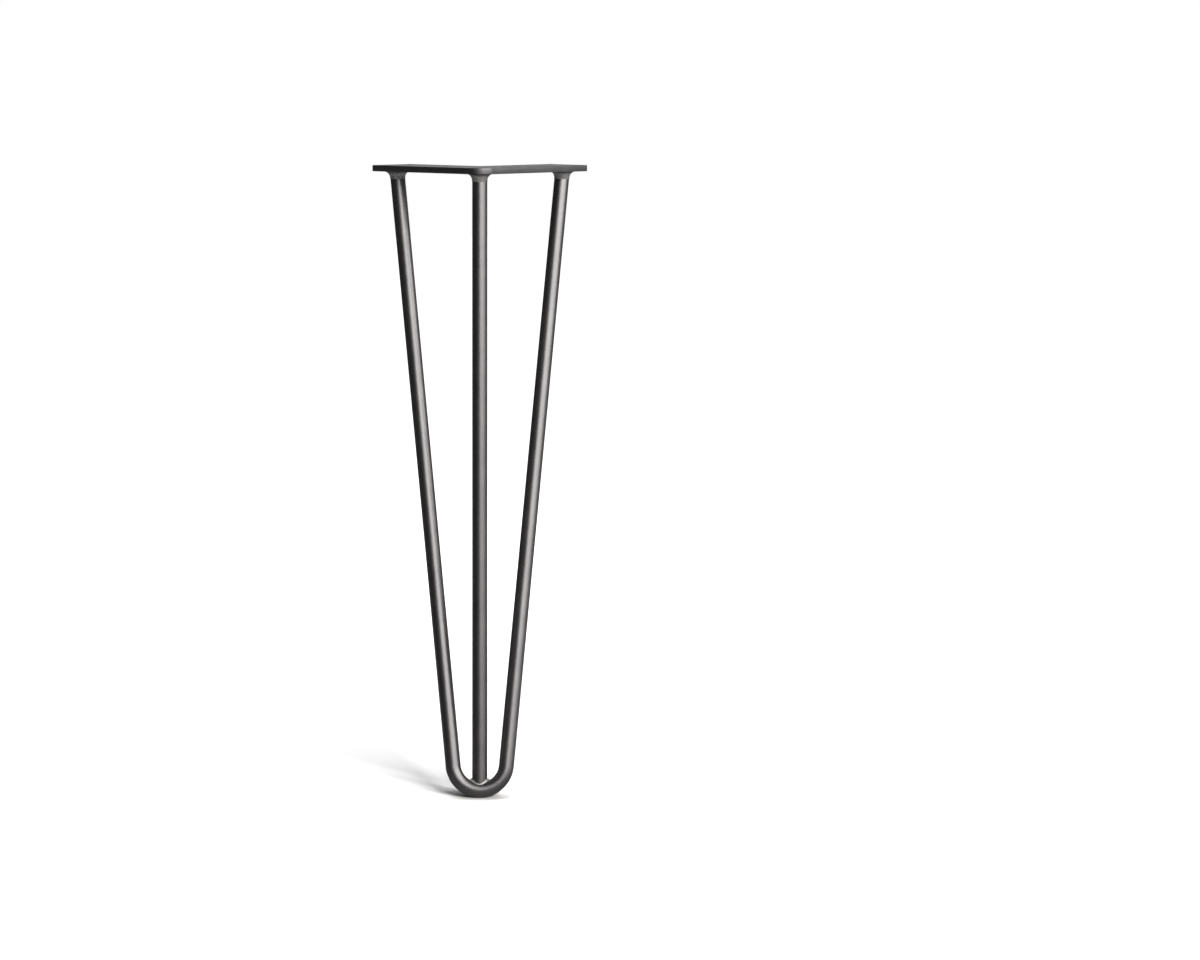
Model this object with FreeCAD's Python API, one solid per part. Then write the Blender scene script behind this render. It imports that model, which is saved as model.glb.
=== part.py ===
# Hairpin table leg: an angle plate, a U-bent rod and a centre rod, welded into one leg
import FreeCAD, Part
import math
import os

os.makedirs("parts", exist_ok=True)

# Driving dimensions, in millimetres
leg_height = 495.0
rod_diameter = 12.0
plate_thickness = 5.0
plate_arm_length = 125.0
plate_arm_width = 44.5
plate_outer_corner_radius = 15.0
plate_inner_corner_radius = 1.0
plate_end_corner_radius = 3.0
plate_edge_break = 0.4
rod_inset = 12.25
outer_rod_from_arm_end = 18.0
foot_forward_of_corner = 45.0
bend_radius = 21.2
centre_rod_set_back = 2.4
screw_hole_diameter = 5.5
end_hole_from_arm_end = 11.0
end_hole_inset = 33.0
mid_hole_along_arm = 62.0
mid_hole_inset = 22.25
corner_hole_inset = 31.0
plate_weld_radius = 4.8
plate_weld_length = 5.9
weld_skin = 0.2
foot_weld_radius = 1.65

# Construction lengths: bars start this far above their cuts, and points this near count as touching
cut_margin = 20.0
touching = 0.001

V = FreeCAD.Vector
up = V(0, 0, 1)
rod_radius = rod_diameter / 2.0
half_diagonal = plate_arm_width / math.sqrt(2.0)
underside = -plate_thickness
outer_rod_along_arm = plate_arm_length - outer_rod_from_arm_end
end_hole_along_arm = plate_arm_length - end_hole_from_arm_end


# Plan position on the plate, from distances along one arm and inward from its outer edge
def on_plate(side, along, inward, z=0.0):
    x = side * (along - inward) / math.sqrt(2.0)
    y = (along + inward) / math.sqrt(2.0) - half_diagonal
    return V(x, y, z)


# Wire through plan corners, each one rounded to its own radius
def rounded_outline(corners):
    pieces = []
    starts = []
    ends = []
    count = len(corners)
    for index in range(count):
        point, radius = corners[index]
        before = corners[index - 1][0]
        after = corners[(index + 1) % count][0]
        to_before = (before - point).normalize()
        to_after = (after - point).normalize()
        half_angle = to_before.getAngle(to_after) / 2.0
        setback = radius / math.tan(half_angle)
        start = point + to_before * setback
        end = point + to_after * setback
        inward = (to_before + to_after).normalize()
        centre = point + inward * (radius / math.sin(half_angle))
        middle = centre - inward * radius
        pieces.append(Part.Arc(start, middle, end).toShape())
        starts.append(start)
        ends.append(end)
    for index in range(count):
        pieces.append(Part.makeLine(ends[index], starts[(index + 1) % count]))
    return Part.Wire(Part.sortEdges(pieces)[0])


# Mounting plate: two arms at a right angle, cut from flat plate
outline = rounded_outline([
    (on_plate(1, 0.0, 0.0, underside), plate_outer_corner_radius),
    (on_plate(1, plate_arm_length, 0.0, underside), plate_end_corner_radius),
    (on_plate(1, plate_arm_length, plate_arm_width, underside), plate_end_corner_radius),
    (on_plate(1, plate_arm_width, plate_arm_width, underside), plate_inner_corner_radius),
    (on_plate(-1, plate_arm_length, plate_arm_width, underside), plate_end_corner_radius),
    (on_plate(-1, plate_arm_length, 0.0, underside), plate_end_corner_radius),
])
blank = Part.Face(outline).extrude(up * plate_thickness)
rim_edges = []
for edge in blank.Edges:
    if edge.BoundBox.ZLength < touching:
        rim_edges.append(edge)
plate = blank.makeChamfer(plate_edge_break, rim_edges)

# Screw holes: one behind the corner, two along each arm
hole_positions = [on_plate(1, corner_hole_inset, corner_hole_inset, underside)]
for side in (-1, 1):
    hole_positions.append(on_plate(side, mid_hole_along_arm, mid_hole_inset, underside))
    hole_positions.append(on_plate(side, end_hole_along_arm, end_hole_inset, underside))
for position in hole_positions:
    bottom = position - up * plate_thickness
    plate = plate.cut(Part.makeCylinder(screw_hole_diameter / 2.0, 3.0 * plate_thickness, bottom, up))

# Lines of the bent rod: both legs and the foot lie in one leaning plane
outer_top = on_plate(1, outer_rod_along_arm, rod_inset, underside)
plane_top = V(0, outer_top.y, underside)
foot = V(0, -half_diagonal - foot_forward_of_corner, rod_radius - leg_height)
plane_down = (foot - plane_top).normalize()
plane_depth = (foot - plane_top).Length
plane_front = plane_down.cross(V(1, 0, 0))
bend_depth = plane_depth - bend_radius
reach = math.hypot(outer_top.x, bend_depth)
lean_to_centre = math.atan2(bend_depth, -outer_top.x)
leg_angle = lean_to_centre - math.asin(bend_radius / reach)
leg_length = math.sqrt(reach ** 2 - bend_radius ** 2)


# Point of the leaning plane, from the distance across and the distance down it
def on_plane(across, down):
    return plane_top + V(1, 0, 0) * across + plane_down * down


tangent_across = outer_top.x + leg_length * math.cos(leg_angle)
tangent_down = leg_length * math.sin(leg_angle)
leg_direction = (on_plane(tangent_across, tangent_down) - outer_top).normalize()
right_start = outer_top - leg_direction * cut_margin
right_tangent = on_plane(tangent_across, tangent_down)
left_tangent = on_plane(-tangent_across, tangent_down)
left_start = V(-right_start.x, right_start.y, right_start.z)

# Bent rod: round bar swept down one leg, round the foot and up the other, cut flush at the plate
path = Part.Wire([
    Part.makeLine(right_start, right_tangent),
    Part.Arc(right_tangent, foot, left_tangent).toShape(),
    Part.makeLine(left_tangent, left_start),
])
section = Part.Wire(Part.makeCircle(rod_radius, right_start, leg_direction))
bent_bar = path.makePipeShell([section], True, False)
span = 4.0 * plate_arm_length
above_underside = Part.makeBox(span, span, span, V(-span / 2.0, -span / 2.0, underside))
hairpin = bent_bar.cut(above_underside)

# Centre rod: from behind the plate's corner down to the foot, its end shaped to saddle the bend
centre_top = on_plate(1, rod_inset, rod_inset, underside)
landing = foot - plane_front * centre_rod_set_back
centre_direction = (landing - centre_top).normalize()
centre_start = centre_top - centre_direction * cut_margin
centre_length = (landing - centre_start).Length
bar = Part.makeCylinder(rod_radius, centre_length, centre_start, centre_direction)
centre_rod = bar.cut(above_underside).cut(hairpin)


# Plate welds: each one a hollow fillet round the rod's top and a thin skin of weld further down the rod
def plate_weld(top, direction):
    start = top - direction * cut_margin
    stub = Part.makeCylinder(rod_radius, 2.0 * cut_margin, start, direction).cut(above_underside)
    joint = blank.fuse(stub)
    root = []
    for edge in joint.Edges:
        distances = [vertex.Point.distanceToPoint(top) for vertex in edge.Vertexes]
        level = max(abs(vertex.Z - underside) for vertex in edge.Vertexes)
        if level < touching and max(distances) < 1.5 * rod_radius:
            root.append(edge)
    fillet = joint.makeFillet(plate_weld_radius, root).cut(joint)
    sleeve = Part.makeCylinder(rod_radius + weld_skin, cut_margin + plate_weld_length, start, direction)
    skin = sleeve.cut(above_underside).cut(stub)
    return fillet.fuse(skin).removeSplitter()


left_top = V(-outer_top.x, outer_top.y, outer_top.z)
left_direction = V(-leg_direction.x, leg_direction.y, leg_direction.z)
plate_welds = [
    plate_weld(left_top, left_direction),
    plate_weld(outer_top, leg_direction),
    plate_weld(centre_top, centre_direction),
]

# Foot weld: a small hollow bead along the whole line where the centre rod meets the bend
foot_joint = hairpin.fuse(centre_rod)
saddle = []
for edge in foot_joint.Edges:
    middle = Part.Vertex(edge.valueAt((edge.FirstParameter + edge.LastParameter) / 2.0))
    if hairpin.distToShape(middle)[0] < touching and centre_rod.distToShape(middle)[0] < touching:
        saddle.append(edge)
foot_weld = foot_joint.makeFillet(foot_weld_radius, saddle).cut(foot_joint)

# One file for each piece
pieces = {
    "mounting_plate": plate,
    "hairpin_rod": hairpin,
    "centre_rod": centre_rod,
    "weld_beads": Part.makeCompound(plate_welds + [foot_weld]),
}
for name, shape in pieces.items():
    solids = [Part.Solid(shell) for shell in shape.Shells]
    Part.makeCompound(solids).exportStep("parts/" + name + ".step")
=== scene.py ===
import bpy
import math
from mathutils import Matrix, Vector, noise

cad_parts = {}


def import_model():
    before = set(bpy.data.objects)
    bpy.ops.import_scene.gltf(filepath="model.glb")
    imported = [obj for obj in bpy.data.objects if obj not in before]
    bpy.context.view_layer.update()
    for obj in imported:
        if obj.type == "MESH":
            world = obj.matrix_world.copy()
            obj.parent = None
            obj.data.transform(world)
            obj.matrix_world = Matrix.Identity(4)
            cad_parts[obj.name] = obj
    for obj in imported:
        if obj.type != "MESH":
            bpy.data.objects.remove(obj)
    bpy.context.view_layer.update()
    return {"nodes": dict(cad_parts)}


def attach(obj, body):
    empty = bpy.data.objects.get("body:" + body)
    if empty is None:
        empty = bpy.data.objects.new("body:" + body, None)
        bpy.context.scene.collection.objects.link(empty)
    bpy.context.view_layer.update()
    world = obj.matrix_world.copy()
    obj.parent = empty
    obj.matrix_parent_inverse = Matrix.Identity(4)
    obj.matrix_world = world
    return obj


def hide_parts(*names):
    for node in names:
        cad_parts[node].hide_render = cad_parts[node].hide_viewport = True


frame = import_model()
nodes = frame["nodes"]

# Sizes of the leg, in metres
LEG_HEIGHT = 0.495
ROD_RADIUS = 0.006
PLATE_THICKNESS = 0.005
PLATE_ARM_LENGTH = 0.125
PLATE_ARM_WIDTH = 0.0445
PLATE_OUTER_CORNER = 0.015
PLATE_INNER_CORNER = 0.001
PLATE_END_CORNER = 0.003
PLATE_RIM = 0.0005
ROD_INSET = 0.01225
OUTER_ROD_ALONG_ARM = 0.107
FOOT_FORWARD = 0.045
BEND_RADIUS = 0.0212
CENTRE_SET_BACK = 0.0024
HOLE_RADIUS = 0.00275
END_HOLE_ALONG, END_HOLE_INSET = 0.114, 0.033
MID_HOLE_ALONG, MID_HOLE_INSET = 0.062, 0.02225
CORNER_HOLE_INSET = 0.031
PLATE_BEAD_RADIUS = 0.0048
PLATE_BEAD_LENGTH = 0.0059
BEAD_SKIN = 0.0002
FOOT_BEAD_FRONT = 0.0009
FOOT_BEAD_SIDE = 0.00165

HALF_DIAGONAL = PLATE_ARM_WIDTH / math.sqrt(2.0)
UNDERSIDE = -PLATE_THICKNESS
ACROSS = Vector((1.0, 0.0, 0.0))
FRONT = Vector((0.0, -1.0, 0.0))

# How far the rods run into the plate, and the welds into the steel beside them
INTO_PLATE = 0.002
BURIED = 0.0006

# Mesh steps of the rods; one more ring near each end keeps the flat end from shading the round side
ROUND_STEPS = 72
BEND_STEPS = 56
LEG_STEPS = 12
FINE_LENGTH, FINE_STEPS = 0.02, 30
END_RING = 0.0002

# Mesh steps of the welds and the plate
BEAD_STEPS, BEAD_ARC_STEPS, BEAD_SKIN_STEPS = 96, 12, 5
FOOT_BEAD_STEPS, FOOT_ARC_STEPS = 120, 7
CORNER_STEPS, HOLE_STEPS, RIM_STEPS = 16, 48, 3

# Heat mark on the centre rod, by distance from the rod's end, with a ragged border
HEAT_START, HEAT_FULL = 0.0165, 0.0125
HEAT_RAGGED, HEAT_RAGGED_SCALE = 0.0012, 420.0

# Unevenness of the plate welds: ripples round the rod, lumps, and a ragged lower edge
RIPPLE_DEPTH, RIPPLES_ROUND, RIPPLE_SLANT = 0.00012, 23.0, 900.0
LUMP_DEPTH, LUMP_PLACE, LUMP_ROUND, LUMP_DOWN = 0.00022, 90.0, 3.1, 500.0
RAGGED_DEPTH, RAGGED_PLACE, RAGGED_ROUND = 0.00025, 70.0, 2.3
RAGGED_FROM = PLATE_BEAD_RADIUS * 1.05

# Painted shade in the crevice under the plate, by depth below the underside
CREVICE_SHADE_FULL, CREVICE_SHADE_END = 0.0004, 0.0021

# The foot weld: how far it goes round the rod, where it reaches full size, and its unevenness
FOOT_BEAD_REACH = math.radians(150.0)
FOOT_BEAD_WIDENS = math.radians(75.0)
FOOT_LUMP, FOOT_LUMP_SCALE = 0.05, 5.0
FOOT_RIPPLE, FOOT_RIPPLES = 0.02, 40.0

# Search up the rod for the place where the weld's ball rests
SEARCH_UP, SEARCH_STEPS, SEARCH_HALVINGS = 0.03, 240, 30

# Steel: colours from dark to light, noise scales, and depth and strength of the bumps
ROD_DARK, ROD_LIGHT, ROD_ROUGHNESS = (0.178, 0.172, 0.172), (0.208, 0.201, 0.197), 0.41
PLATE_DARK, PLATE_LIGHT, PLATE_ROUGHNESS = (0.178, 0.173, 0.173), (0.208, 0.202, 0.2), 0.42
ROD_GRAIN = (900.0, 900.0, 30.0)
PLATE_GRAIN = (240.0, 240.0, 240.0)
STEEL_TINT = (0.55, 0.55, 0.56, 1.0)
STEEL_ROUGHNESS_SPREAD = 0.02
HEAT_DARK, HEAT_LIGHT = (0.2, 0.192, 0.186), (0.36, 0.35, 0.338)
HEAT_METALLIC = 0.55
HEAT_ROUGHNESS = 0.16
BLOTCH_SCALE, SPECK_SCALE, PATCH_SCALE = 70.0, 1500.0, 650.0
GRAIN_DEPTH, SPECK_DEPTH, SATIN_BUMP = 0.00002, 0.00001, 0.25
HEAT_DEPTH, HEAT_BUMP = 0.0004, 0.7

# Weld metal: the same, with painted shade in the crevice under the plate
PLATE_WELD_DARK, PLATE_WELD_LIGHT = (0.088, 0.086, 0.083), (0.134, 0.131, 0.127)
PLATE_WELD_METALLIC, PLATE_WELD_ROUGHNESS = 0.25, 0.66
# The foot weld is far lighter than the plate welds: a painted highlight along its V
FOOT_WELD_PAINTED_HIGHLIGHT_DARK, FOOT_WELD_PAINTED_HIGHLIGHT_LIGHT = (0.4, 0.39, 0.375), (0.56, 0.55, 0.53)
FOOT_WELD_METALLIC, FOOT_WELD_ROUGHNESS = 0.6, 0.42
# Near-black painted shade for the crevice under the plate
PAINTED_CREVICE_SHADE_COLOUR = (0.02, 0.02, 0.02)
WELD_ROUGHNESS_SPREAD = 0.07
WELD_PATCH_SCALE, GRIT_SCALE = 520.0, 2400.0
WELD_PATCH_DEPTH, GRIT_DEPTH, WELD_BUMP = 0.0003, 0.00005, 0.4

# The part of each noise's range that goes from one value to the other
NOISE_RANGE = (0.3, 0.7)
HEAT_PATCH_RANGE = (0.38, 0.62)
WELD_PATCH_RANGE = (0.35, 0.65)

# The floor: its colours, its lift towards white far away, and its shade where the foot touches it
FLOOR_RADIUS, FLOOR_CORNERS = 9.0, 48
FLOOR_COLOUR, FLOOR_MOTTLE = (0.82, 0.82, 0.82), (0.83, 0.83, 0.83)
FLOOR_MOTTLE_SCALE = 3.0
FLOOR_ROUGHNESS = 0.9
FLOOR_LIFT = 0.15
LIFT_START, LIFT_FULL = 0.3, 1.2
CONTACT_REACH, CONTACT_SAMPLES = 0.034, 8
CONTACT_DARKEST, CONTACT_CLEAR = 0.6, 0.985
CONTACT_SHADE = (0.3, 0.295, 0.285)

# What the metal sees of the floor: painted shade on the left, painted light on the right and behind
PAINTED_SHADE_PAPER, PAINTED_LIT_PAPER, PAINTED_BACK_LIT_PAPER = (0.03, 0.03, 0.032), (0.22, 0.22, 0.22), (0.3, 0.3, 0.3)
LIT_PAPER_START, LIT_PAPER_FULL = -0.35, 0.25
BACK_PAPER_START, BACK_PAPER_FULL = 0.02, 0.18

# The studio round the leg: a dark and a light side, and a white backdrop behind
DARK_SIDE, LIGHT_SIDE = (0.065, 0.065, 0.068), (0.3, 0.3, 0.31)
LIT_SIDE_START, LIT_SIDE_FULL = 0.0, 0.95
BACKDROP_START, BACKDROP_FULL = 0.9, 0.98
WHITE = (1.0, 1.0, 1.0)

# Lamps: angle from the front and above level in degrees, size in metres, power in watts
LAMP_DISTANCE = 3.0
LAMP_AIM = Vector((0.0, 0.0, -0.25))
KEY_LAMP = {"azimuth": 42.5, "elevation": 31.0, "width": 4.6, "height": 2.1, "power": 136.0}
FLOOR_LAMP = {"azimuth": 28.0, "elevation": 22.0, "width": 1.6, "height": 1.0, "power": 352.0}
BACK_LAMP = {"azimuth": 180.0, "elevation": 45.0, "width": 1.6, "height": 1.6, "power": 12.0}

# The photograph's frame
PHOTO_WIDTH = 1200
FOCAL_PIXELS = 3667.0
LEG_CENTRE_PIXEL = 479.75
CAMERA_DISTANCE = 2.928
CAMERA_PITCH = math.radians(6.61)
CAMERA_TARGET = Vector((0.0, -0.0215, -0.24834))
SENSOR_WIDTH = 36.0
NEAREST_SEEN, FARTHEST_SEEN = 0.05, 60.0


# Node helpers
class Nodes:
    def __init__(self, tree):
        self.tree = tree
        tree.nodes.clear()

    def add(self, kind, **settings):
        node = self.tree.nodes.new(kind)
        for key, value in settings.items():
            setattr(node, key, value)
        return node

    def link(self, source, target):
        self.tree.links.new(source, target)

    def attribute(self, name, output):
        return self.add("ShaderNodeAttribute", attribute_name=name).outputs[output]

    def place(self):
        return self.add("ShaderNodeTexCoord").outputs["Object"]

    def noise(self, vector, scale, detail, roughness):
        node = self.add("ShaderNodeTexNoise")
        node.inputs["Scale"].default_value = scale
        node.inputs["Detail"].default_value = detail
        node.inputs["Roughness"].default_value = roughness
        self.link(vector, node.inputs["Vector"])
        return node.outputs["Fac"]

    def stretch(self, vector, scale):
        node = self.add("ShaderNodeMapping")
        node.inputs["Scale"].default_value = scale
        self.link(vector, node.inputs["Vector"])
        return node.outputs["Vector"]

    def remap(self, value, low, high, to_low=0.0, to_high=1.0):
        node = self.add("ShaderNodeMapRange")
        node.inputs["From Min"].default_value = low
        node.inputs["From Max"].default_value = high
        node.inputs["To Min"].default_value = to_low
        node.inputs["To Max"].default_value = to_high
        self.link(value, node.inputs["Value"])
        return node.outputs["Result"]

    def mix_colour(self, factor, first, second):
        node = self.add("ShaderNodeMix", data_type="RGBA")
        self.link(factor, node.inputs["Factor"])
        for socket, value in ((node.inputs[6], first), (node.inputs[7], second)):
            if isinstance(value, tuple):
                socket.default_value = (*value, 1.0)
            else:
                self.link(value, socket)
        return node.outputs[2]

    def math(self, operation, first, second):
        node = self.add("ShaderNodeMath", operation=operation)
        for socket, value in zip(node.inputs, (first, second)):
            if isinstance(value, (int, float)):
                socket.default_value = value
            else:
                self.link(value, socket)
        return node.outputs[0]

    def bump(self, height, distance, strength, normal=None):
        node = self.add("ShaderNodeBump")
        node.inputs["Strength"].default_value = strength
        node.inputs["Distance"].default_value = distance
        self.link(height, node.inputs["Height"])
        if normal is not None:
            self.link(normal, node.inputs["Normal"])
        return node.outputs["Normal"]

    # Rises from 0 to 1 as one coordinate of the vector goes from low to high
    def ramp_along(self, vector, axis, low, high):
        split = self.add("ShaderNodeSeparateXYZ")
        self.link(vector, split.inputs["Vector"])
        return self.remap(split.outputs[axis], low, high)

    def surface(self, source, kind="ShaderNodeOutputMaterial"):
        self.link(source, self.add(kind).inputs["Surface"])


def new_material(name):
    material = bpy.data.materials.new(name)
    material.use_nodes = True
    return material, Nodes(material.node_tree)


# Dark satin steel: faint grain, mottled roughness, duller and rougher where the weld heat reached
def steel(name, along_bar, grain_scale, dark, light, roughness):
    material, n = new_material(name)
    source = n.attribute("grain", "Vector") if along_bar else n.place()
    heat = n.attribute("heat", "Fac")
    blotch = n.noise(source, BLOTCH_SCALE, 4.0, 0.6)
    grain = n.noise(n.stretch(source, grain_scale), 1.0, 3.0, 0.55)
    speck = n.noise(source, SPECK_SCALE, 2.0, 0.5)
    patch = n.noise(source, PATCH_SCALE, 3.0, 0.65)
    colour = n.mix_colour(n.remap(blotch, *NOISE_RANGE), dark, light)
    scaled = n.mix_colour(n.remap(patch, *HEAT_PATCH_RANGE), HEAT_DARK, HEAT_LIGHT)
    shader = n.add("ShaderNodeBsdfPrincipled")
    n.link(n.mix_colour(heat, colour, scaled), shader.inputs["Base Color"])
    n.link(n.remap(heat, 0.0, 1.0, 1.0, HEAT_METALLIC), shader.inputs["Metallic"])
    shader.inputs["Specular Tint"].default_value = STEEL_TINT
    mottle = n.math("ADD", n.math("MULTIPLY", grain, 0.5), n.math("MULTIPLY", blotch, 0.5))
    even = n.remap(mottle, *NOISE_RANGE,
                   roughness - STEEL_ROUGHNESS_SPREAD, roughness + STEEL_ROUGHNESS_SPREAD)
    duller = n.math("MULTIPLY", heat, HEAT_ROUGHNESS)
    n.link(n.math("ADD", even, duller), shader.inputs["Roughness"])
    normal = n.bump(grain, GRAIN_DEPTH, SATIN_BUMP)
    normal = n.bump(speck, SPECK_DEPTH, SATIN_BUMP, normal)
    normal = n.bump(n.math("MULTIPLY", patch, heat), HEAT_DEPTH, HEAT_BUMP, normal)
    n.link(normal, shader.inputs["Normal"])
    n.surface(shader.outputs["BSDF"])
    return material


# Rough weld metal, with painted shade in the crevice under the plate
def weld_material(name, dark, light, metallic, roughness):
    material, n = new_material(name)
    source = n.place()
    patches = n.noise(source, WELD_PATCH_SCALE, 4.0, 0.6)
    grit = n.noise(source, GRIT_SCALE, 3.0, 0.6)
    colour = n.mix_colour(n.remap(patches, *WELD_PATCH_RANGE), dark, light)
    # Painted shade: the weld goes towards black close under the plate
    colour = n.mix_colour(n.attribute("painted_crevice_shade", "Fac"), colour, PAINTED_CREVICE_SHADE_COLOUR)
    shader = n.add("ShaderNodeBsdfPrincipled")
    n.link(colour, shader.inputs["Base Color"])
    shader.inputs["Metallic"].default_value = metallic
    uneven = n.remap(grit, *NOISE_RANGE,
                     roughness - WELD_ROUGHNESS_SPREAD, roughness + WELD_ROUGHNESS_SPREAD)
    n.link(uneven, shader.inputs["Roughness"])
    normal = n.bump(patches, WELD_PATCH_DEPTH, WELD_BUMP)
    normal = n.bump(grit, GRIT_DEPTH, WELD_BUMP, normal)
    n.link(normal, shader.inputs["Normal"])
    n.surface(shader.outputs["BSDF"])
    return material


rod_steel = steel("rod_steel", True, ROD_GRAIN, ROD_DARK, ROD_LIGHT, ROD_ROUGHNESS)
plate_steel = steel("plate_steel", False, PLATE_GRAIN, PLATE_DARK, PLATE_LIGHT, PLATE_ROUGHNESS)
weld_metal = weld_material("weld_metal", PLATE_WELD_DARK, PLATE_WELD_LIGHT,
                           PLATE_WELD_METALLIC, PLATE_WELD_ROUGHNESS)
# Its light colour paints the highlight along the foot weld's V
foot_weld_painted_highlight = weld_material("foot_weld_painted_highlight", FOOT_WELD_PAINTED_HIGHLIGHT_DARK, FOOT_WELD_PAINTED_HIGHLIGHT_LIGHT,
                                FOOT_WELD_METALLIC, FOOT_WELD_ROUGHNESS)


# One mesh piece; where it has flat ends, those are its only faces without four corners
def mesh_piece(name, vertices, faces, material, replaced, flat_ends=True):
    mesh = bpy.data.meshes.new(name)
    mesh.from_pydata([tuple(vertex) for vertex in vertices], [], faces)
    for polygon in mesh.polygons:
        polygon.use_smooth = len(polygon.vertices) == 4 or not flat_ends
    mesh.materials.append(material)
    piece = bpy.data.objects.new(name, mesh)
    bpy.context.scene.collection.objects.link(piece)
    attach(piece, "root")
    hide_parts(replaced)
    return piece


# Stores one value for each vertex, for the materials to read
def keep_values(piece, name, kind, values):
    attribute = piece.data.attributes.new(name, kind, "POINT")
    for item, value in zip(attribute.data, values):
        if kind == "FLOAT":
            item.value = value
        else:
            item.vector = value


# Faces between rings of equal count, closed round each ring
def skin_rings(ring_count, ring_size, closed_along=False):
    faces = []
    spans = ring_count if closed_along else ring_count - 1
    for ring in range(spans):
        here = ring * ring_size
        there = (ring + 1) % ring_count * ring_size
        for step in range(ring_size):
            following = (step + 1) % ring_size
            faces.append((here + step, here + following, there + following, there + step))
    return faces


# The flat faces that close the first and the last ring
def end_faces(ring_count, ring_size):
    last = (ring_count - 1) * ring_size
    return [tuple(reversed(range(ring_size))), tuple(last + step for step in range(ring_size))]


def limited(value):
    return min(max(value, 0.0), 1.0)


def with_end_rings(path):
    near_start = path[0] + (path[1] - path[0]).normalized() * END_RING
    near_end = path[-1] + (path[-2] - path[-1]).normalized() * END_RING
    return [path[0], near_start] + path[1:-1] + [near_end, path[-1]]


def tangent_at(path, index):
    if index == 0:
        return (path[1] - path[0]).normalized()
    if index == len(path) - 1:
        return (path[-1] - path[-2]).normalized()
    before = (path[index] - path[index - 1]).normalized()
    after = (path[index + 1] - path[index]).normalized()
    return (before + after).normalized()


# A round bar along a path; each point keeps its place in the bar and its share of the heat mark
def tube(name, path, side, heat_from, replaced):
    path = with_end_rings(path)
    lengths = [0.0]
    for start, end in zip(path, path[1:]):
        lengths.append(lengths[-1] + (end - start).length)
    vertices, grain, heat = [], [], []
    for index, point in enumerate(path):
        other = tangent_at(path, index).cross(side).normalized()
        for step in range(ROUND_STEPS):
            angle = 2.0 * math.pi * step / ROUND_STEPS
            sideways = math.cos(angle) * ROD_RADIUS
            otherways = math.sin(angle) * ROD_RADIUS
            vertices.append(point + side * sideways + other * otherways)
            grain.append((sideways, otherways, lengths[index]))
            heat.append(heat_from(lengths[-1] - lengths[index], vertices[-1]))
    faces = skin_rings(len(path), ROUND_STEPS) + end_faces(len(path), ROUND_STEPS)
    piece = mesh_piece(name, vertices, faces, rod_steel, replaced)
    keep_values(piece, "grain", "FLOAT_VECTOR", grain)
    keep_values(piece, "heat", "FLOAT", heat)


def subdivided(start, end, parts):
    return [start.lerp(end, index / parts) for index in range(parts + 1)]


# The same place or direction on the other side of the leg
def mirrored(vector):
    return Vector((-vector.x, vector.y, vector.z))


# Place on the plate's underside, from distances along one arm and inward from its outer edge
def on_plate(side, along, inward):
    x = side * (along - inward) / math.sqrt(2.0)
    y = (along + inward) / math.sqrt(2.0) - HALF_DIAGONAL
    return Vector((x, y, UNDERSIDE))


# Lines of the bent rod: both legs and the foot lie in one leaning plane
outer_top = on_plate(1, OUTER_ROD_ALONG_ARM, ROD_INSET)
plane_top = Vector((0.0, outer_top.y, UNDERSIDE))
foot_point = Vector((0.0, -HALF_DIAGONAL - FOOT_FORWARD, ROD_RADIUS - LEG_HEIGHT))
plane_down = (foot_point - plane_top).normalized()
plane_front = plane_down.cross(ACROSS).normalized()
bend_depth = (foot_point - plane_top).length - BEND_RADIUS
bend_centre = plane_top + plane_down * bend_depth
reach = math.hypot(outer_top.x, bend_depth)
leg_angle = math.atan2(bend_depth, -outer_top.x) - math.asin(BEND_RADIUS / reach)
leg_length = math.sqrt(reach ** 2 - BEND_RADIUS ** 2)


# Place in the leaning plane, from distances across it and down it
def on_plane(across, down):
    return plane_top + ACROSS * across + plane_down * down


tangent_point = on_plane(outer_top.x + leg_length * math.cos(leg_angle),
                         leg_length * math.sin(leg_angle))
leg_direction = (tangent_point - outer_top).normalized()
centre_top = on_plate(1, ROD_INSET, ROD_INSET)
landing = foot_point - plane_front * CENTRE_SET_BACK
centre_direction = (landing - centre_top).normalized()


def bent_rod_path():
    right_leg = subdivided(outer_top - leg_direction * INTO_PLATE, tangent_point, LEG_STEPS)
    first = leg_angle - math.pi / 2.0
    bend = []
    for step in range(1, BEND_STEPS):
        angle = first + (math.pi - 2.0 * first) * step / BEND_STEPS
        across = BEND_RADIUS * math.cos(angle)
        bend.append(on_plane(across, bend_depth + BEND_RADIUS * math.sin(angle)))
    left_leg = [mirrored(point) for point in reversed(right_leg)]
    return right_leg + bend + left_leg


# Coarse rings down the rod, and fine ones near the foot, where the heat mark is
def centre_rod_path():
    start = centre_top - centre_direction * INTO_PLATE
    near_foot = landing - centre_direction * FINE_LENGTH
    return subdivided(start, near_foot, LEG_STEPS) + subdivided(near_foot, landing, FINE_STEPS)[1:]


def no_heat(from_end, place):
    return 0.0


# The weld's heat mark on the centre rod: its last centimetre, with a ragged upper border
def heat_mark(from_end, place):
    ragged = HEAT_RAGGED * noise.noise(place * HEAT_RAGGED_SCALE)
    return limited((HEAT_START - from_end - ragged) / (HEAT_START - HEAT_FULL))


tube("hairpin_bar", bent_rod_path(), plane_front, no_heat, "hairpin_rod")
tube("centre_bar", centre_rod_path(), ACROSS, heat_mark, "centre_rod")


# Two directions square to an axis, the first one facing the front of the leg
def square_to(direction):
    front = (FRONT - direction * FRONT.dot(direction)).normalized()
    return front, direction.cross(front).normalized()


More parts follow.
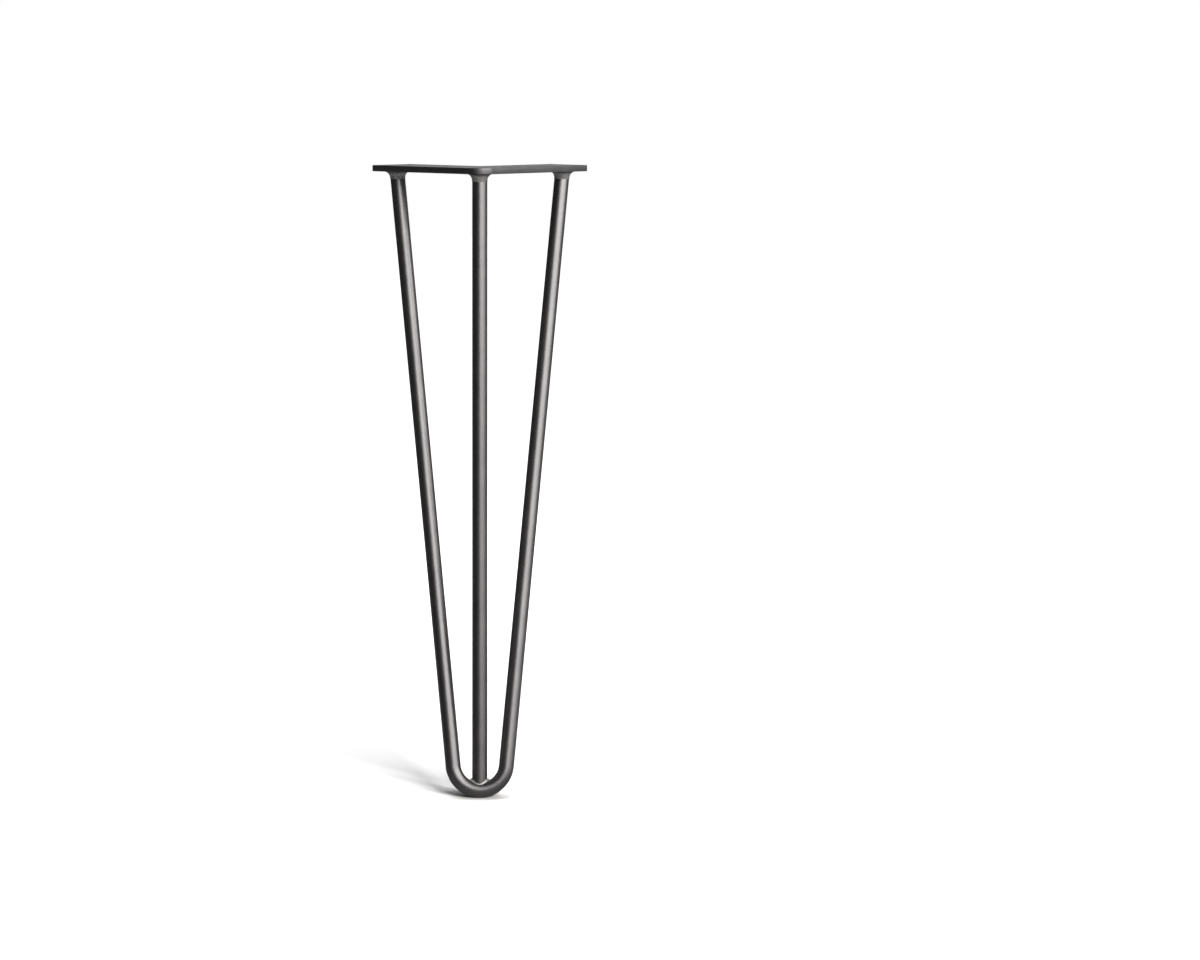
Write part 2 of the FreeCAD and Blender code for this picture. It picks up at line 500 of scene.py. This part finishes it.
# Section of a plate weld: depth below the plate, radius, and how uneven the surface may be there
def bead_profile():
    profile = [(-BURIED, ROD_RADIUS + PLATE_BEAD_RADIUS, 0.0)]
    for step in range(BEAD_ARC_STEPS + 1):
        turn = math.pi / 2.0 * step / BEAD_ARC_STEPS
        depth = PLATE_BEAD_RADIUS * (1.0 - math.cos(turn))
        hollow = (PLATE_BEAD_RADIUS - BEAD_SKIN) * (1.0 - math.sin(turn))
        profile.append((depth, ROD_RADIUS + BEAD_SKIN + hollow, math.sin(2.0 * turn)))
    for step in range(1, BEAD_SKIN_STEPS + 1):
        below = (PLATE_BEAD_LENGTH - PLATE_BEAD_RADIUS) * step / BEAD_SKIN_STEPS
        profile.append((PLATE_BEAD_RADIUS + below, ROD_RADIUS + BEAD_SKIN, 0.0))
    profile.append((PLATE_BEAD_LENGTH, ROD_RADIUS - BURIED, 0.0))
    profile.append((-BURIED, ROD_RADIUS - BURIED, 0.0))
    return profile


def lump_at(top, outward, depth):
    down = Vector((0.0, 0.0, depth * LUMP_DOWN))
    return LUMP_DEPTH * noise.noise(top * LUMP_PLACE + outward * LUMP_ROUND + down)


def ragged_edge(top, outward, depth):
    if depth <= RAGGED_FROM:
        return 0.0
    return RAGGED_DEPTH * noise.noise(top * RAGGED_PLACE + outward * RAGGED_ROUND)


# A plate weld: a hollow ring of weld under the plate, running out in a thin skin down the rod
def plate_bead(name, top, direction):
    front, side = square_to(direction)
    profile = bead_profile()
    vertices = []
    for step in range(BEAD_STEPS):
        angle = 2.0 * math.pi * step / BEAD_STEPS
        outward = front * math.cos(angle) + side * math.sin(angle)
        for depth, radius, freedom in profile:
            ripple = RIPPLE_DEPTH * math.sin(RIPPLES_ROUND * angle + RIPPLE_SLANT * depth) * freedom
            lump = lump_at(top, outward, depth) * freedom
            point = top + outward * (radius + ripple + lump)
            level = top.z - (depth + ragged_edge(top, outward, depth))
            vertices.append(point + direction * ((level - point.z) / direction.z))
    faces = skin_rings(BEAD_STEPS, len(profile), closed_along=True)
    piece = mesh_piece(name, vertices, faces, weld_metal, "weld_beads",
                       flat_ends=False)
    # Painted shade, full just under the plate and gone a couple of millimetres lower
    painted_crevice_shade = [limited((CREVICE_SHADE_END - depth) / (CREVICE_SHADE_END - CREVICE_SHADE_FULL))
               for depth, radius, freedom in profile]
    keep_values(piece, "painted_crevice_shade", "FLOAT", painted_crevice_shade * BEAD_STEPS)


# How far a point is from the bend's centre line, and the nearest point on that line
def from_bend(point):
    offset = point - bend_centre
    across, down = offset.dot(ACROSS), offset.dot(plane_down)
    flat = math.hypot(across, down)
    nearest = bend_centre + (ACROSS * across + plane_down * down) * (BEND_RADIUS / flat)
    return (point - nearest).length, nearest


# Centre of a ball that touches the centre rod and rests on the bend, on one side of the rod
def resting_ball(outward, ball):
    apart = ROD_RADIUS + ball

    def centre_at(up_rod):
        return landing - centre_direction * up_rod + outward * apart

    high = None
    for step in range(SEARCH_STEPS + 1):
        low = SEARCH_UP - SEARCH_UP * step / SEARCH_STEPS
        if from_bend(centre_at(low))[0] < apart:
            for _ in range(SEARCH_HALVINGS):
                middle = (low + high) / 2.0
                if from_bend(centre_at(middle))[0] < apart:
                    low = middle
                else:
                    high = middle
            return centre_at(middle)
        high = low
    return None


# One section of the foot weld: a hollow arc between the rod and the bend, closed inside the steel
def foot_ring(outward, ball):
    centre = resting_ball(outward, ball)
    if centre is None:
        return None
    to_rod = -outward
    to_bend = (from_bend(centre)[1] - centre).normalized()
    ring = []
    for part in range(FOOT_ARC_STEPS + 1):
        ring.append(centre + to_rod.slerp(to_bend, part / FOOT_ARC_STEPS).normalized() * ball)
    ring.append(centre + to_bend * (ball + BURIED))
    ring.append(centre + to_rod * (ball + BURIED))
    return ring


# The foot weld: small at the front, wider at the sides, so that it meets the rod along a V
def foot_bead():
    front, side = square_to(centre_direction)
    rings = []
    for step in range(FOOT_BEAD_STEPS + 1):
        angle = -FOOT_BEAD_REACH + 2.0 * FOOT_BEAD_REACH * step / FOOT_BEAD_STEPS
        outward = front * math.cos(angle) + side * math.sin(angle)
        share = min(abs(angle) / FOOT_BEAD_WIDENS, 1.0)
        ball = FOOT_BEAD_FRONT + (FOOT_BEAD_SIDE - FOOT_BEAD_FRONT) * share
        lump = FOOT_LUMP * noise.noise(outward * FOOT_LUMP_SCALE)
        ball *= 1.0 + lump + FOOT_RIPPLE * math.sin(FOOT_RIPPLES * angle)
        ring = foot_ring(outward, ball)
        if ring is not None:
            rings.append(ring)
    size = len(rings[0])
    vertices = [point for ring in rings for point in ring]
    faces = skin_rings(len(rings), size) + end_faces(len(rings), size)
    mesh_piece("foot_bead", vertices, faces, foot_weld_painted_highlight, "weld_beads")


plate_bead("left_plate_bead", mirrored(outer_top), mirrored(leg_direction))
plate_bead("right_plate_bead", outer_top, leg_direction)
plate_bead("centre_plate_bead", centre_top, centre_direction)
foot_bead()


# Points round a plan outline whose corners each have their own radius
def rounded_outline(corners):
    points = []
    for index, (corner, radius) in enumerate(corners):
        to_before = (corners[index - 1][0] - corner).normalized()
        to_after = (corners[(index + 1) % len(corners)][0] - corner).normalized()
        half_angle = to_before.angle(to_after) / 2.0
        centre = corner + (to_before + to_after).normalized() * (radius / math.sin(half_angle))
        start = (corner + to_before * (radius / math.tan(half_angle)) - centre).normalized()
        end = (corner + to_after * (radius / math.tan(half_angle)) - centre).normalized()
        for step in range(CORNER_STEPS + 1):
            points.append(centre + start.slerp(end, step / CORNER_STEPS) * radius)
    return points


def circle(centre, radius, steps):
    points = []
    for step in range(steps):
        angle = 2.0 * math.pi * step / steps
        points.append(centre + Vector((math.cos(angle), math.sin(angle), 0.0)) * radius)
    return points


# The plate's outline and its screw holes, in plan
def plate_loops():
    outline = rounded_outline([
        (on_plate(1, 0.0, 0.0), PLATE_OUTER_CORNER),
        (on_plate(1, PLATE_ARM_LENGTH, 0.0), PLATE_END_CORNER),
        (on_plate(1, PLATE_ARM_LENGTH, PLATE_ARM_WIDTH), PLATE_END_CORNER),
        (on_plate(1, PLATE_ARM_WIDTH, PLATE_ARM_WIDTH), PLATE_INNER_CORNER),
        (on_plate(-1, PLATE_ARM_LENGTH, PLATE_ARM_WIDTH), PLATE_END_CORNER),
        (on_plate(-1, PLATE_ARM_LENGTH, 0.0), PLATE_END_CORNER)])
    holes = [on_plate(1, CORNER_HOLE_INSET, CORNER_HOLE_INSET)]
    for side in (-1, 1):
        holes.append(on_plate(side, MID_HOLE_ALONG, MID_HOLE_INSET))
        holes.append(on_plate(side, END_HOLE_ALONG, END_HOLE_INSET))
    return [outline] + [circle(hole, HOLE_RADIUS, HOLE_STEPS) for hole in holes]


# The mounting plate, with rolled rims round its outline and its screw holes
def plate_body():
    curve = bpy.data.curves.new("plate_outline", "CURVE")
    curve.dimensions = "2D"
    curve.fill_mode = "BOTH"
    curve.extrude = PLATE_THICKNESS / 2.0 - PLATE_RIM
    curve.bevel_depth = PLATE_RIM
    curve.bevel_resolution = RIM_STEPS
    curve.offset = -PLATE_RIM
    for loop in plate_loops():
        spline = curve.splines.new("POLY")
        spline.points.add(len(loop) - 1)
        for point, place in zip(spline.points, loop):
            point.co = (place.x, place.y, 0.0, 1.0)
        spline.use_cyclic_u = True
    drawn = bpy.data.objects.new("plate_outline", curve)
    bpy.context.scene.collection.objects.link(drawn)
    filled = drawn.evaluated_get(bpy.context.evaluated_depsgraph_get())
    mesh = bpy.data.meshes.new_from_object(filled)
    bpy.data.objects.remove(drawn)
    down = Vector((0.0, 0.0, -PLATE_THICKNESS / 2.0))
    vertices = [vertex.co + down for vertex in mesh.vertices]
    faces = [tuple(polygon.vertices) for polygon in mesh.polygons]
    mesh_piece("plate_body", vertices, faces, plate_steel, "mounting_plate",
               flat_ends=False)


plate_body()
for name in nodes:
    for material_slot in nodes[name].material_slots:
        material_slot.material = weld_metal if name == "weld_beads" else rod_steel


# 1 for the rays that show the background itself, straight or through glass
def background_rays(n, rays):
    return n.math("MAXIMUM", rays.outputs["Is Camera Ray"], rays.outputs["Is Transmission Ray"])


# White paper, shaded where the foot touches it, and lifted to white far from the leg
def floor_paper(n, source):
    rays = n.add("ShaderNodeLightPath")
    lit_side = n.ramp_along(source, "X", LIT_PAPER_START, LIT_PAPER_FULL)
    behind = n.ramp_along(source, "Y", BACK_PAPER_START, BACK_PAPER_FULL)
    length = n.add("ShaderNodeVectorMath", operation="LENGTH")
    n.link(source, length.inputs[0])
    lift = n.remap(length.outputs["Value"], LIFT_START, LIFT_FULL, FLOOR_LIFT, 1.0)
    contact = n.add("ShaderNodeAmbientOcclusion", samples=CONTACT_SAMPLES)
    contact.inputs["Distance"].default_value = CONTACT_REACH
    open_sky = n.remap(contact.outputs["AO"], CONTACT_DARKEST, CONTACT_CLEAR)
    mottle = n.noise(source, FLOOR_MOTTLE_SCALE, 2.0, 0.5)
    paper = n.mix_colour(mottle, FLOOR_COLOUR, FLOOR_MOTTLE)
    paper = n.mix_colour(open_sky, CONTACT_SHADE, paper)
    # Seen only in reflections: painted shade on the left, painted light on the right and behind
    reflected = n.mix_colour(lit_side, PAINTED_SHADE_PAPER, PAINTED_LIT_PAPER)
    reflected = n.mix_colour(behind, reflected, PAINTED_BACK_LIT_PAPER)
    colour = n.mix_colour(rays.outputs["Is Glossy Ray"], paper, reflected)
    diffuse = n.add("ShaderNodeBsdfPrincipled")
    n.link(colour, diffuse.inputs["Base Color"])
    diffuse.inputs["Roughness"].default_value = FLOOR_ROUGHNESS
    diffuse.inputs["Specular IOR Level"].default_value = 0.0
    glow = n.add("ShaderNodeEmission")
    glow.inputs["Color"].default_value = (*WHITE, 1.0)
    strength = n.math("MULTIPLY", n.math("MULTIPLY", lift, open_sky), background_rays(n, rays))
    n.link(strength, glow.inputs["Strength"])
    both = n.add("ShaderNodeAddShader")
    n.link(diffuse.outputs["BSDF"], both.inputs[0])
    n.link(glow.outputs["Emission"], both.inputs[1])
    return both.outputs["Shader"]


# The floor is paper from above, and clear from below, so that the leg can be seen from there too
def floor_material():
    material, n = new_material("white_floor")
    from_above = n.add("ShaderNodeMixShader")
    n.link(n.add("ShaderNodeNewGeometry").outputs["Backfacing"], from_above.inputs["Fac"])
    n.link(floor_paper(n, n.place()), from_above.inputs[1])
    n.link(n.add("ShaderNodeBsdfTransparent").outputs["BSDF"], from_above.inputs[2])
    n.surface(from_above.outputs["Shader"])
    return material


def floor():
    mesh = bpy.data.meshes.new("floor")
    corners = circle(Vector((0.0, 0.0, 0.0)), FLOOR_RADIUS, FLOOR_CORNERS)
    mesh.from_pydata([tuple(corner) for corner in corners], [], [tuple(range(FLOOR_CORNERS))])
    piece = bpy.data.objects.new("floor", mesh)
    piece.location = (0.0, foot_point.y, -LEG_HEIGHT)
    piece.data.materials.append(floor_material())
    bpy.context.scene.collection.objects.link(piece)
    return piece


def world():
    scene_world = bpy.data.worlds.new("studio")
    bpy.context.scene.world = scene_world
    scene_world.use_nodes = True
    n = Nodes(scene_world.node_tree)
    rays = n.add("ShaderNodeLightPath")
    direction = n.add("ShaderNodeTexCoord").outputs["Generated"]
    lit_side = n.ramp_along(direction, "X", LIT_SIDE_START, LIT_SIDE_FULL)
    backdrop = n.ramp_along(direction, "Y", BACKDROP_START, BACKDROP_FULL)
    reflected = n.math("MULTIPLY", rays.outputs["Is Glossy Ray"], backdrop)
    seen = n.math("MAXIMUM", background_rays(n, rays), reflected)
    studio = n.mix_colour(lit_side, DARK_SIDE, LIGHT_SIDE)
    background = n.add("ShaderNodeBackground")
    n.link(n.mix_colour(seen, studio, WHITE), background.inputs["Color"])
    background.inputs["Strength"].default_value = 1.0
    n.surface(background.outputs["Background"], "ShaderNodeOutputWorld")


# A soft lamp that lights only the given objects; the others still cast their shadows in it
def lamp(name, lit_objects, azimuth, elevation, width, height, power):
    data = bpy.data.lights.new(name, "AREA")
    data.shape = "RECTANGLE"
    data.size, data.size_y = width, height
    data.energy = power
    piece = bpy.data.objects.new(name, data)
    turn, rise = math.radians(azimuth), math.radians(elevation)
    level = math.cos(rise)
    away = Vector((math.sin(turn) * level, -math.cos(turn) * level, math.sin(rise)))
    piece.location = LAMP_AIM + away * LAMP_DISTANCE
    piece.rotation_mode = "QUATERNION"
    piece.rotation_quaternion = away.to_track_quat("Z", "Y")
    bpy.context.scene.collection.objects.link(piece)
    lit = bpy.data.collections.new("lit_by_" + name)
    for lit_object in lit_objects:
        lit.objects.link(lit_object)
    piece.light_linking.receiver_collection = lit


def camera():
    data = bpy.data.cameras.new("camera")
    data.sensor_width = SENSOR_WIDTH
    data.lens = FOCAL_PIXELS / PHOTO_WIDTH * SENSOR_WIDTH
    data.shift_x = (PHOTO_WIDTH / 2.0 - LEG_CENTRE_PIXEL) / PHOTO_WIDTH
    data.clip_start, data.clip_end = NEAREST_SEEN, FARTHEST_SEEN
    piece = bpy.data.objects.new("camera", data)
    back = Vector((0.0, -math.cos(CAMERA_PITCH), math.sin(CAMERA_PITCH)))
    piece.location = CAMERA_TARGET + back * CAMERA_DISTANCE
    piece.rotation_mode = "QUATERNION"
    piece.rotation_quaternion = (-back).to_track_quat("-Z", "Y")
    bpy.context.scene.collection.objects.link(piece)
    bpy.context.scene.camera = piece


leg_objects = [piece for piece in bpy.context.scene.objects if piece.type == "MESH"]
paper_floor = floor()
world()
lamp("key_softbox", leg_objects, **KEY_LAMP)
lamp("floor_softbox", [paper_floor], **FLOOR_LAMP)
lamp("back_softbox", leg_objects, **BACK_LAMP)
camera()
bpy.context.scene.view_settings.view_transform = "Standard"
